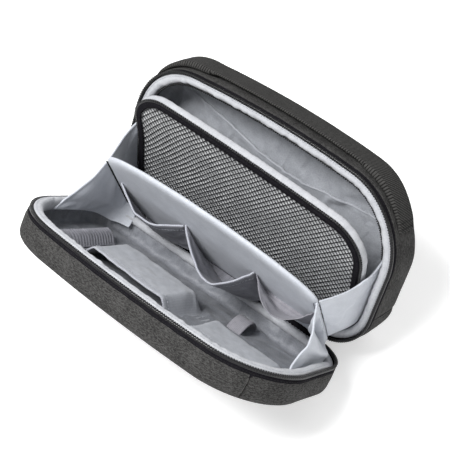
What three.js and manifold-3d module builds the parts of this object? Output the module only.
// Clamshell organiser pouch, shown opened in a V. Millimetres, +Z up, rear towards +Y.
// Two soft shells hinge on one line along their base. Every frame below has its own axes:
//   x       along the hinge line, positive to the right,
//   height  up the rim (or the flat part), measured from that frame's hinge line,
//   depth   square to that plane: outward from the shut rim plane in a shell frame,
//           towards the rear in the divider and mesh panel frames.
// An inset is measured from an outline, positive towards its middle.
import * as THREE from 'three';
import { mergeVertices } from 'three/addons/utils/BufferGeometryUtils.js';
import Module from 'manifold-3d';

// ---------- driving dimensions ----------
const HALF_LENGTH = 130;
const RIM_HEIGHT = 134;        // at the ends of the top edge
const CROWN = 10;              // extra height in the middle of the top edge
const TOP_RADIUS = 56;
const BASE_RADIUS = 37;        // hinge-side corners
const REAR_DEPTH = 41;
const FRONT_DEPTH = 27;
const REAR_TILT = 28.7;        // tilts are degrees from vertical
const FRONT_TILT = 44.3;
const DIVIDER_TILT = -9.8;     // negative leans to the front
const HINGE_Y = 6.84;          // puts the origin at the middle of the footprint
const HINGE_Z = 17.65;
const PANEL_HINGE_HEIGHT = 5.5; // mesh panel hinge line, in the rear shell
const PANEL_HINGE_DEPTH = 16;
const PANEL_OPEN = 20.5;       // mesh panel angle to the rear rim plane, degrees
const PANEL_HALF = 112;
const PANEL_HEIGHT = 112;
const DIVIDER_HALF = 105;
const DIVIDER_FOOT = 7;
const DIVIDER_SHOULDER = 81;   // where the arched top begins
const DIVIDER_ARCH = 26.5;     // rise of the arched top
const PARK_ANGLE = 6;          // rim slider, degrees round the base corner from straight down
const GAP = 0.3;               // between neighbouring shell panels
const FACE_ROUNDING = 5.2;     // between the shell wall and its face
const LINING_FLOOR = 4.8;      // inner side of the lining floor, in from the shell face
const POCKET_THICKNESS = 0.9;
const SKIRT_THICKNESS = 0.8;   // gusset cloth

const MATERIALS = {
  shell: { color: '#50504d', roughness: 0.92 },
  tape: { color: '#2b2931', roughness: 0.85 },
  coil: { color: '#17171a', roughness: 0.5 },
  binding: { color: '#d7dae4', roughness: 0.9 },
  lining: { color: '#969aa2', roughness: 0.8 },
  divider: { color: '#bec3cb', roughness: 0.85 },
  pocket: { color: '#87858c', roughness: 0.85 },
  foam: { color: '#e6e6e2', roughness: 1 },
  board: { color: '#dcdad2', roughness: 0.7 },
  webbing: { color: '#3e3e3c', roughness: 0.9 },
  net: { color: '#5d6066', roughness: 0.8 },
  metal: { color: '#26262a', roughness: 0.35, metalness: 0.6 },
  cord: { color: '#1d1d20', roughness: 0.8 },
};

const group = new THREE.Group();
function put(name, geometry, material) {
  const mesh = new THREE.Mesh(geometry, new THREE.MeshStandardMaterial(MATERIALS[material]));
  mesh.name = name;
  group.add(mesh);
}

// ---------- frames ----------
const { clamp, degToRad, lerp, smoothstep } = THREE.MathUtils;

// facing is 1 when depth runs to the rear and -1 when it runs to the front
function frame(originY, originZ, tilt, facing = 1) {
  const sin = Math.sin(degToRad(tilt));
  const cos = Math.cos(degToRad(tilt));
  return (x, height, depth) => new THREE.Vector3(
    x,
    originY + facing * (sin * height + cos * depth),
    originZ + cos * height - sin * depth,
  );
}
const rear = frame(HINGE_Y, HINGE_Z, REAR_TILT);
const front = frame(HINGE_Y, HINGE_Z, FRONT_TILT, -1);
const divider = frame(HINGE_Y, HINGE_Z, DIVIDER_TILT);
const panelHinge = rear(0, PANEL_HINGE_HEIGHT, PANEL_HINGE_DEPTH);
const panel = frame(panelHinge.y, panelHinge.z, REAR_TILT - PANEL_OPEN);

// ---------- outlines ----------
// Runs from the left end of the base edge to the right, over the top and back down the left.
// Each point holds its place, its inward direction and the lift the crown gives it.
function makeOutline({ half, height, topRadius, baseRadius, crown, steps }) {
  const points = [];
  const edgePoint = (x, level, inX, inHeight) => {
    points.push({ x, height: level, inX, inHeight });
  };
  const flatEdge = (x0, level, inHeight, count) => {
    for (let i = 0; i < count; i++) edgePoint(x0 - (2 * x0 * i) / count, level, 0, inHeight);
  };
  const corner = (centreX, centreHeight, radius, startAngle, count) => {
    for (let i = 0; i < count; i++) {
      const angle = degToRad(startAngle + (90 * i) / count);
      const cos = Math.cos(angle);
      const sin = Math.sin(angle);
      edgePoint(centreX + radius * cos, centreHeight + radius * sin, -cos, -sin);
    }
  };
  const baseX = half - baseRadius;
  const topX = half - topRadius;
  const shoulder = height - topRadius;
  flatEdge(-baseX, 0, 1, steps.base);
  corner(baseX, baseRadius, baseRadius, -90, steps.baseCorner);
  edgePoint(half, baseRadius, -1, 0);
  corner(topX, shoulder, topRadius, 0, steps.topCorner);
  flatEdge(topX, height, -1, steps.top);
  corner(-topX, shoulder, topRadius, 90, steps.topCorner);
  edgePoint(-half, shoulder, 1, 0);
  corner(-baseX, baseRadius, baseRadius, 180, steps.baseCorner);
  for (const point of points) {
    const fade = clamp((point.height / height - 0.3) / 0.7, 0, 1);
    point.lift = crown * (1 - (point.x / half) ** 2) * fade;
  }
  return points;
}
const insetPoint = ({ x, height, inX, inHeight, lift }, inset) =>
  [x + inX * inset, height + inHeight * inset + lift];
const insetLoop = (outline, inset) => outline.map((point) => insetPoint(point, inset));

const RIM_STEPS = { base: 4, baseCorner: 8, topCorner: 7, top: 4 };
const RIM = makeOutline({
  half: HALF_LENGTH,
  height: RIM_HEIGHT,
  topRadius: TOP_RADIUS,
  baseRadius: BASE_RADIUS,
  crown: CROWN,
  steps: RIM_STEPS,
});
// index marks on RIM
const RIGHT_CORNER_END = RIM_STEPS.base + RIM_STEPS.baseCorner;
const TOP_START = RIGHT_CORNER_END + 1 + RIM_STEPS.topCorner;
const TOP_END = TOP_START + RIM_STEPS.top;
const LEFT_CORNER_START = TOP_END + RIM_STEPS.topCorner + 1;
const ZIP_START = 6;           // part way round the right base corner
const ZIP_END = 38;            // part way round the left base corner

// ---------- geometry builders ----------
const { area, isClockWise, triangulateShape } = THREE.ShapeUtils;
const toVectors = (loop) => loop.map(([x, y]) => new THREE.Vector2(x, y));
const reversed = ([a, b, c]) => [a, c, b];

// Closed mesh with its faces turned outward.
function fromTriangles(points, triangles) {
  let volume = 0;
  for (const [a, b, c] of triangles) {
    volume += points[a].dot(new THREE.Vector3().crossVectors(points[b], points[c]));
  }
  const outward = volume > 0 ? triangles : triangles.map(reversed);
  const positions = new Float32Array(points.flatMap(({ x, y, z }) => [x, y, z]));
  const geometry = new THREE.BufferGeometry();
  geometry.setAttribute('position', new THREE.BufferAttribute(positions, 3));
  geometry.setIndex(outward.flat());
  return geometry;
}

// Sweeps a profile of [inset, depth] along an outline; closed when no end index is given.
// The profile may also be a function of the outline point.
function sweep(outline, map, profile, start = 0, end = null) {
  const closed = end === null;
  const count = closed ? outline.length : end - start + 1;
  const profileAt = typeof profile === 'function' ? profile : () => profile;
  const section = profileAt(outline[start]);
  const size = section.length;
  const points = [];
  const triangles = [];
  for (let k = 0; k < count; k++) {
    const point = outline[(start + k) % outline.length];
    for (const [inset, depth] of profileAt(point)) {
      points.push(map(...insetPoint(point, inset), depth));
    }
  }
  for (let k = 0; k < (closed ? count : count - 1); k++) {
    const here = k * size;
    const next = ((k + 1) % count) * size;
    for (let j = 0; j < size; j++) {
      const beside = (j + 1) % size;
      triangles.push([here + j, here + beside, next + beside]);
      triangles.push([here + j, next + beside, next + j]);
    }
  }
  if (!closed) {
    // the caps take opposite senses at the two ends
    const corners = toVectors(section);
    const last = (count - 1) * size;
    for (const triangle of triangulateShape(corners, [])) {
      const flip = area(triangle.map((i) => corners[i])) * area(corners) < 0;
      const cap = flip ? reversed(triangle) : triangle;
      triangles.push(reversed(cap), cap.map((i) => last + i));
    }
  }
  return fromTriangles(points, triangles);
}

// Flat plate from a 2D loop between two depths.
function plate(loop, map, depth0, depth1) {
  const corners = toVectors(loop);
  if (isClockWise(corners)) corners.reverse();
  const count = corners.length;
  const points = [depth0, depth1].flatMap((depth) => corners.map(({ x, y }) => map(x, y, depth)));
  const triangles = [];
  for (const triangle of triangulateShape(corners, [])) {
    triangles.push(reversed(triangle), triangle.map((i) => count + i));
  }
  for (let i = 0; i < count; i++) {
    const j = (i + 1) % count;
    triangles.push([i, j, count + j], [i, count + j, count + i]);
  }
  return fromTriangles(points, triangles);
}
const block = (map, [x0, x1], [y0, y1], [depth0, depth1]) =>
  plate([[x0, y0], [x1, y0], [x1, y1], [x0, y1]], map, depth0, depth1);

// Soft sheet about a surface whose two parameters run from 0 to 1.
function sheet(surface, columns, rows, thickness = POCKET_THICKNESS) {
  const delta = 1e-3;
  const stride = rows + 1;
  const half = (columns + 1) * stride;
  const points = [];
  const triangles = [];
  const slope = (low, high) => surface(...high).sub(surface(...low));
  for (const side of [1, -1]) {
    for (let i = 0; i <= columns; i++) {
      for (let j = 0; j <= rows; j++) {
        const across = i / columns;
        const along = j / rows;
        const normal = slope(
          [Math.max(0, across - delta), along],
          [Math.min(1, across + delta), along],
        ).cross(slope(
          [across, Math.max(0, along - delta)],
          [across, Math.min(1, along + delta)],
        )).normalize();
        points.push(surface(across, along).addScaledVector(normal, (side * thickness) / 2));
      }
    }
  }
  for (let i = 0; i < columns; i++) {
    for (let j = 0; j < rows; j++) {
      const a = i * stride + j;
      const b = a + 1;
      const c = a + stride;
      const d = c + 1;
      triangles.push([a, c, d], [a, d, b]);
      triangles.push([half + a, half + d, half + c], [half + a, half + b, half + d]);
    }
  }
  const edge = (a, b, flip) => {
    const quad = [[a, half + a, half + b], [a, half + b, b]];
    triangles.push(...(flip ? quad.map(reversed) : quad));
  };
  for (let i = 0; i < columns; i++) {
    edge(i * stride, (i + 1) * stride, false);
    edge(i * stride + rows, (i + 1) * stride + rows, true);
  }
  for (let j = 0; j < rows; j++) {
    edge(j, j + 1, true);
    edge(columns * stride + j, columns * stride + j + 1, false);
  }
  return fromTriangles(points, triangles);
}

// ---------- booleans ----------
const wasm = await Module();
wasm.setup();
function toSolid(geometry) {
  // normals and uvs would keep coincident vertices apart
  geometry.deleteAttribute('normal');
  geometry.deleteAttribute('uv');
  const merged = mergeVertices(geometry, 1e-4);
  return new wasm.Manifold(new wasm.Mesh({
    numProp: 3,
    vertProperties: new Float32Array(merged.attributes.position.array),
    triVerts: new Uint32Array(merged.index.array),
  }));
}
function toGeometry(body) {
  const mesh = body.getMesh();
  const positions = new Float32Array(mesh.vertProperties);
  const geometry = new THREE.BufferGeometry();
  geometry.setAttribute('position', new THREE.BufferAttribute(positions, 3));
  geometry.setIndex(new THREE.BufferAttribute(new Uint32Array(mesh.triVerts), 1));
  return geometry;
}
const cutAway = (geometry, cutter) => toGeometry(toSolid(geometry).subtract(toSolid(cutter)));
const join = (parts) => toGeometry(parts.map(toSolid).reduce((sum, part) => sum.add(part)));

// ---------- the two shells ----------
// Thin slab across the wall, which takes half a gap off each band where they meet.
function seamCutter(map, mark) {
  const [x0, height0] = insetPoint(RIM[mark], -6);
  const [x1, height1] = insetPoint(RIM[mark], 12);
  const length = Math.hypot(x1 - x0, height1 - height0);
  const sideX = (-(height1 - height0) / length) * (GAP / 2);
  const sideHeight = ((x1 - x0) / length) * (GAP / 2);
  return plate([
    [x0 - sideX, height0 - sideHeight],
    [x1 - sideX, height1 - sideHeight],
    [x1 + sideX, height1 + sideHeight],
    [x0 + sideX, height0 + sideHeight],
  ], map, 5, 50);
}

// Thin cup whose wall rounds into its floor.
function liningTray(map, shellDepth) {
  const rimDepth = 6;
  const round = 6;
  const bend = round * 0.35;
  const outer = { inset: 3.9, floor: shellDepth - 4 };
  const inner = { inset: 4.6, floor: shellDepth - LINING_FLOOR };
  const side = ({ inset, floor }) => [
    [inset, rimDepth],
    [inset, floor - round],
    [inset + bend, floor - bend],
    [inset + round, floor],
  ];
  const loops = [...side(outer), ...side(inner).reverse()];
  const count = RIM.length;
  const points = loops.flatMap(([inset, depth]) =>
    insetLoop(RIM, inset).map(([x, height]) => map(x, height, depth)));
  const triangles = [];
  // loops 3 and 4 bound the two floor faces, so no band joins them
  for (const a of [0, 1, 2, 4, 5, 6, 7]) {
    const from = a * count;
    const to = ((a + 1) % loops.length) * count;
    for (let i = 0; i < count; i++) {
      const j = (i + 1) % count;
      triangles.push([from + i, from + j, to + j], [from + i, to + j, to + i]);
    }
  }
  const floorLoop = toVectors(insetLoop(RIM, outer.inset + round));
  for (const triangle of triangulateShape(floorLoop, [])) {
    triangles.push(triangle.map((i) => 3 * count + i));
    triangles.push(reversed(triangle).map((i) => 4 * count + i));
  }
  return fromTriangles(points, triangles);
}

function addShell(side, map, depth, rightSeam) {
  const wall = [
    [0, 9], [0, depth - FACE_ROUNDING], [1.5, depth - 1.5], [FACE_ROUNDING, depth],
    [FACE_ROUNDING, depth - 1.3], [2.4, depth - 2.5], [1.3, depth - FACE_ROUNDING], [1.3, 9],
  ];
  const padding = [[1.6, 9.4], [1.6, depth - 6.4], [3.6, depth - 6.4], [3.6, 9.4]];
  const tape = [[0.9, 3.6], [0.9, 8.7], [1.6, 8.7], [1.6, 3.6]];
  const chain = [[0.3, 0.9], [0.3, 3.2], [2.3, 3.2], [2.3, 0.9]];
  const binding = [[4.9, 3.6], [6.6, 2.7], [8.8, 3.2], [9.6, 5.2], [9.0, 9.5], [4.9, 9.5]];
  const faceLoop = insetLoop(RIM, FACE_ROUNDING + GAP);
  const boardLoop = insetLoop(RIM, FACE_ROUNDING + 1.6);
  const bands = [
    ['side', rightSeam, LEFT_CORNER_START],
    ['base', LEFT_CORNER_START, RIM.length + rightSeam],
  ];
  for (const [part, start, end] of bands) {
    let band = sweep(RIM, map, wall, start, end);
    for (const mark of [rightSeam, LEFT_CORNER_START]) band = cutAway(band, seamCutter(map, mark));
    put(`${side}_${part}_band`, band, 'shell');
  }
  put(`${side}_face_panel`, plate(faceLoop, map, depth - 1.4, depth), 'shell');
  put(`${side}_face_board`, plate(boardLoop, map, depth - 3.6, depth - 1.8), 'board');
  put(`${side}_wall_padding`, sweep(RIM, map, padding), 'foam');
  put(`${side}_lining`, liningTray(map, depth), 'lining');
  put(`${side}_zip_tape`, sweep(RIM, map, tape, ZIP_START, ZIP_END), 'tape');
  put(`${side}_zip_chain`, sweep(RIM, map, chain, ZIP_START, ZIP_END), 'coil');
  put(`${side}_binding`, sweep(RIM, map, binding), 'binding');
}

// Second zip half inside the rear rim, which takes the mesh panel.
function addRearInnerZip() {
  const tape = [[9.9, 5.4], [9.9, 7.6], [10.5, 7.6], [10.5, 5.4]];
  const chain = [[9.9, 3.4], [9.9, 5.0], [11.2, 5.0], [11.2, 3.4]];
  put('rear_inner_zip_tape', sweep(RIM, rear, tape, 14, 30), 'tape');
  put('rear_inner_zip_chain', sweep(RIM, rear, chain, 14, 30), 'coil');
}

// Slip pocket on the back wall, open at its wavy top edge.
function addRearSlipPocket() {
  const half = 108;
  put('rear_slip_pocket', sheet((across, rise) => {
    const offCentre = Math.abs(2 * across - 1);
    const top = 97 + 12 * (1 - across) ** 4 + 3 * Math.sin(across * 9);
    const foot = 13 + 12 * offCentre ** 4;
    const depth = 34.8 - 5.5 * rise * (1 - offCentre ** 3);
    return rear(-half + 2 * half * across, foot + (top - foot) * rise, depth);
  }, 12, 4), 'pocket');
}

// Fabric between the two base walls, folded along the hinge line.
function addHingeStrip() {
  const half = 88;
  const section = [
    rear(0, 0.9, 8.7), rear(0, 1.6, 8.7), rear(0, 2.0, 1.2),
    front(0, 2.0, 1.2), front(0, 1.6, 8.7), front(0, 0.9, 8.7), front(0, 1.0, 0.4),
  ].map(({ y, z }) => [y, z]);
  put('hinge_strip', plate(section, (y, z, x) => new THREE.Vector3(x, y, z), -half, half), 'tape');
}

// ---------- webbing handle over the rear shell's top edge ----------
function webbing(start, end) {
  const depth0 = 14;
  const depth1 = 36.5;
  const thickness = 2.2;
  return sweep(RIM, rear, ({ x }) => {
    const standOff = 0.5 + 3.4 * clamp((118 - Math.abs(x)) / 34, 0, 1);
    const outside = -standOff - thickness;
    return [[-standOff, depth0], [-standOff, depth1], [outside, depth1], [outside, depth0]];
  }, start, end);
}

function addHandle() {
  const endSteps = 4;
  const endGap = 0.35;         // trimmed off each end piece where it meets the grip
  const handleEnd = (side, start) => {
    const cutter = new THREE.BoxGeometry(endGap * 2, 200, 260);
    cutter.translate(side * (HALF_LENGTH - TOP_RADIUS), 60, 120);
    return cutAway(webbing(start, start + endSteps), cutter);
  };
  put('handle_grip', webbing(TOP_START, TOP_END), 'webbing');
  put('handle_end_right', handleEnd(1, TOP_START - endSteps), 'webbing');
  put('handle_end_left', handleEnd(-1, TOP_END), 'webbing');
}

// ---------- divider ----------
function dividerLoop(inset) {
  const half = DIVIDER_HALF - inset;
  const loop = [[-half, DIVIDER_FOOT + inset], [half, DIVIDER_FOOT + inset]];
  for (let k = 0; k <= 12; k++) {
    const angle = (Math.PI * k) / 12;
    const height = DIVIDER_SHOULDER - inset + DIVIDER_ARCH * Math.sin(angle);
    loop.push([half * Math.cos(angle), height]);
  }
  return loop;
}

// Bulged sheet on the front of the divider, closed at its sides and its foot.
// sag lowers the hem at the peak; peak is where the bulge is fullest, from 0 left to 1 right.
function dividerPocket({ x0, x1, foot, hem, bulge, sag, columns = 10, peak = 0.5 }) {
  const standOff = 2.9;
  const skew = Math.log(0.5) / Math.log(peak);
  return sheet((across, rise) => {
    const fullness = Math.pow(Math.sin(Math.PI * Math.pow(across, skew)), 0.6);
    return divider(
      x0 + (x1 - x0) * across,
      foot + (hem - foot) * rise - sag * fullness * rise,
      -(standOff + bulge * fullness * (0.35 + 0.65 * rise)),
    );
  }, columns, 4);
}

function addDivider() {
  put('divider_front_cover', plate(dividerLoop(0), divider, -2.1, -1.3), 'divider');
  put('divider_foam_core', plate(dividerLoop(1.5), divider, -1.0, 0.6), 'foam');
  put('divider_rear_cover', plate(dividerLoop(0), divider, 0.9, 1.7), 'divider');
  const left = { x0: -97, x1: -29, foot: 10, hem: 56, bulge: 12, sag: 2 };
  const centre = {
    x0: -26, x1: 44, foot: 10, hem: 60, bulge: 25, sag: 2, columns: 12, peak: 0.66,
  };
  const strap = { x0: 47, x1: 101, foot: 38, hem: 60, bulge: 17, sag: 4 };
  put('divider_pocket_left', dividerPocket(left), 'pocket');
  put('divider_pocket_centre', dividerPocket(centre), 'pocket');
  put('divider_elastic_strap', dividerPocket(strap), 'pocket');
}

// ---------- gussets from the divider's ends to the shell end walls ----------
function rimHalfWidth(height, inset) {
  if (height >= BASE_RADIUS) return HALF_LENGTH - inset;
  const reach = (BASE_RADIUS - inset) ** 2 - (BASE_RADIUS - height) ** 2;
  return HALF_LENGTH - BASE_RADIUS + Math.sqrt(Math.max(0, reach));
}

function gusset(side, map, { dividerDepth, footDepth, topDepth }) {
  return sheet((outward, rise) => {
    const height = 17.5 + 70.5 * rise;
    const wallDepth = topDepth + (footDepth - topDepth) * (1 - rise) ** 3;
    const inner = divider(side * (DIVIDER_HALF + 1.2), 16 + 64 * rise, dividerDepth);
    const outer = map(side * rimHalfWidth(height, 11.4), height, wallDepth);
    const point = inner.clone().lerp(outer, outward);
    point.x = lerp(inner.x, outer.x, 1 - (1 - outward) ** 1.9);
    point.z -= 7 * Math.sin(Math.PI * outward) * rise;
    return point;
  }, 8, 6, SKIRT_THICKNESS);
}

function addGussets() {
  const toFront = { dividerDepth: -1.6, footDepth: 14, topDepth: 7 };
  const toRear = { dividerDepth: 1.2, footDepth: 21, topDepth: 8 };
  for (const [tag, side] of [['left', -1], ['right', 1]]) {
    put(`${tag}_front_gusset`, gusset(side, front, toFront), 'divider');
    put(`${tag}_rear_gusset`, gusset(side, rear, toRear), 'divider');
  }
}

// ---------- front shell fittings ----------
const FRONT_FLOOR = FRONT_DEPTH - LINING_FLOOR - 0.9; // just clear of the lining floor

// Box-shaped pocket, open towards the top rim, with its hem bowed upward.
function boxPocket({ x0, x1, foot, hem, lift, hemBow }) {
  return sheet((across, rise) => {
    const height = foot + (hem - foot) * rise + hemBow * Math.sin(Math.PI * across) * rise;
    const fullness = smoothstep(across / 0.16, 0, 1)
      * smoothstep((1 - across) / 0.16, 0, 1)
      * smoothstep(rise / 0.3, 0, 1);
    return front(x0 + (x1 - x0) * across, height, FRONT_FLOOR - lift * fullness);
  }, 12, 8);
}

// Narrow upright loop standing on the lining floor.
function gatheredElastic() {
  const outline = makeOutline({
    half: 2,
    height: 66,
    topRadius: 1,
    baseRadius: 1,
    crown: 0,
    steps: { base: 1, baseCorner: 2, topCorner: 2, top: 1 },
  });
  const depth0 = FRONT_FLOOR - 6;
  const depth1 = FRONT_FLOOR - 0.2;
  const map = (x, height, depth) => front(x * 1.6 - 86.5, height + 38, depth);
  return sweep(outline, map, [[-1.2, depth0], [-1.2, depth1], [0.9, depth1], [0.9, depth0]]);
}

function addFrontFittings() {
  const left = { x0: -78, x1: 24, foot: 40, hem: 100, lift: 15.5, hemBow: 5 };
  const right = { x0: 28, x1: 112, foot: 48, hem: 98, lift: 9, hemBow: 6 };
  put('front_pocket_left', boxPocket(left), 'pocket');
  put('front_pocket_right', boxPocket(right), 'pocket');
  put('front_gathered_elastic', gatheredElastic(), 'pocket');
  put('cable_loop', sheet((rise, across) => {
    const arch = 9.5 * Math.pow(Math.sin(Math.PI * rise), 0.7);
    return front(40 + 13 * across, 16 + 26 * rise, FRONT_FLOOR - arch);
  }, 10, 1, 1.1), 'pocket');
}

// ---------- mesh-faced panel of the rear compartment ----------
function addMeshPanel() {
  const outline = makeOutline({
    half: PANEL_HALF,
    height: PANEL_HEIGHT,
    topRadius: 30,
    baseRadius: 34,
    crown: 3,
    steps: { base: 2, baseCorner: 3, topCorner: 6, top: 4 },
  });
  // inset loop kept above the foot strip, without repeated points
  const sheetLoop = (inset) => insetLoop(outline, inset)
    .map(([x, height]) => [x, Math.max(height, 3)])
    .filter(([x, height], i, all) =>
      i === 0 || Math.hypot(x - all[i - 1][0], height - all[i - 1][1]) > 0.05);
  const tape = [[0.3, -1.5], [9.0, -1.5], [9.0, -0.9], [0.3, -0.9]];
  const chain = [[-1.9, -0.8], [-1.9, 0.9], [-0.2, 0.9], [-0.2, -0.8]];
  const binding = [[-1.6, 2.7], [-2.6, 3.8], [-1.6, 5.2], [1.6, 5.6], [3.2, 4.2], [2.4, 2.7]];
  const edging = (profile) => sweep(outline, panel, profile, 4, outline.length - 2);
  put('mesh_panel_backing', plate(sheetLoop(2), panel, 0.4, 1.1), 'divider');
  put('mesh_net', plate(sheetLoop(2.4), panel, -0.6, 0.1), 'net');
  put('mesh_panel_tape', edging(tape), 'tape');
  put('mesh_panel_chain', edging(chain), 'coil');
  put('mesh_panel_binding', edging(binding), 'binding');
  put('mesh_panel_foot', block(panel, [-78, 78], [0.2, 2.6], [-0.5, 0.9]), 'divider');
}

// ---------- zip sliders ----------
// Returns a maker of cylinders centred on the origin point and lying along the axis.
function pinMaker(origin, outward, axis) {
  const third = new THREE.Vector3().crossVectors(outward, axis);
  const matrix = new THREE.Matrix4().makeBasis(outward, axis, third).setPosition(origin);
  return (radius, length, segments = 12) =>
    new THREE.CylinderGeometry(radius, radius, length, segments).applyMatrix4(matrix);
}
const pullEye = (pin, radius, length) => cutAway(pin(radius, length, 16), pin(0.85, 5, 16));

// Rim slider parked on a base corner, with its pull tangent to the rim, towards the middle.
function addRimSlider(tag, side) {
  const centreX = HALF_LENGTH - BASE_RADIUS;
  const pinOut = 3.6;          // pin distance outside the rim
  // angle is degrees from straight down, out is the distance outside the rim
  const cornerMap = (degrees, out, depth) => {
    const angle = degToRad(degrees);
    const radius = BASE_RADIUS + out;
    const x = side * (centreX + radius * Math.sin(angle));
    return rear(x, BASE_RADIUS - radius * Math.cos(angle), depth);
  };
  const tangentMap = (along, out, depth) => {
    const angle = degToRad(PARK_ANGLE);
    const sin = Math.sin(angle);
    const cos = Math.cos(angle);
    const radius = BASE_RADIUS + out;
    const x = side * (centreX + radius * sin - along * cos);
    return rear(x, BASE_RADIUS - radius * cos - along * sin, depth);
  };
  const start = PARK_ANGLE - 7;
  const end = PARK_ANGLE + 6.5;
  const curvedPlate = (out0, out1) => {
    const angles = [0, 1, 2, 3, 4].map((k) => start + ((end - start) * k) / 4);
    const near = angles.map((angle) => [angle, out0]);
    const far = angles.map((angle) => [angle, out1]).reverse();
    return plate([...near, ...far], cornerMap, -3.3, 3.3);
  };
  const lug = (depths) =>
    block(cornerMap, [PARK_ANGLE - 1.6, PARK_ANGLE + 1.6], [1.0, pinOut + 0.9], depths);
  const origin = cornerMap(PARK_ANGLE, pinOut, 0);
  const outward = cornerMap(PARK_ANGLE, pinOut + 1, 0).sub(origin).normalize();
  const axis = rear(0, 0, 1).sub(rear(0, 0, 0)).normalize();
  const pin = pinMaker(origin, outward, axis);
  put(`${tag}_slider`, join([
    curvedPlate(0.4, 1.5),
    curvedPlate(-4.0, -3.0),
    block(cornerMap, [start, PARK_ANGLE - 2.5], [-3.5, 1.0], [-0.5, 0.5]),
    lug([-2.9, -2.1]),
    lug([2.1, 2.9]),
    pin(0.6, 5.2),
  ]), 'metal');
  put(`${tag}_slider_pull`, join([
    pullEye(pin, 1.5, 3.6),
    block(tangentMap, [1.1, 6.5], [pinOut - 0.5, pinOut + 0.5], [-1.3, 1.3]),
    block(tangentMap, [6.0, 20], [pinOut - 0.9, pinOut + 0.9], [-2.0, 2.0]),
  ]), 'cord');
}

// Slider of the mesh panel zip, on the straight right-hand end of the panel.
function addMeshSlider() {
  const foot = 38;
  const top = 47;
  const pinDepth = -4.9;
  const part = (xs, heights, depths) =>
    block(panel, xs.map((x) => PANEL_HALF + x), heights, depths);
  const lug = (xs) => part(xs, [foot + 3.4, foot + 5.6], [pinDepth - 0.9, -2.4]);
  const origin = panel(PANEL_HALF + 1.1, foot + 4.5, pinDepth);
  const outward = panel(0, 0, 1).sub(panel(0, 0, 0)).normalize();
  const pin = pinMaker(origin, outward, new THREE.Vector3(1, 0, 0));
  put('mesh_slider', join([
    part([-1.4, 3.6], [foot, top], [-2.9, -1.9]),
    part([-1.4, 3.6], [foot, top], [1.4, 2.2]),
    part([2.5, 3.6], [foot, foot + 3], [-2.4, 1.8]),
    lug([-1.3, -0.6]),
    lug([2.8, 3.5]),
    pin(0.6, 4.2),
  ]), 'metal');
  put('mesh_slider_pull', join([
    pullEye(pin, 1.45, 2.8),
    part([0.1, 2.1], [foot - 2.5, foot + 3.4], [pinDepth - 0.5, pinDepth + 0.5]),
    part([-0.4, 2.6], [foot - 10, foot - 2.2], [pinDepth - 0.8, pinDepth + 0.8]),
  ]), 'cord');
}

// ---------- assembly ----------
addShell('rear', rear, REAR_DEPTH, RIGHT_CORNER_END);
addShell('front', front, FRONT_DEPTH, 17); // right seam part way round the top corner
addRearInnerZip();
addRearSlipPocket();
addHingeStrip();
addHandle();
addDivider();
addGussets();
addFrontFittings();
addMeshPanel();
addRimSlider('left', -1);
addRimSlider('right', 1);
addMeshSlider();

export default group;
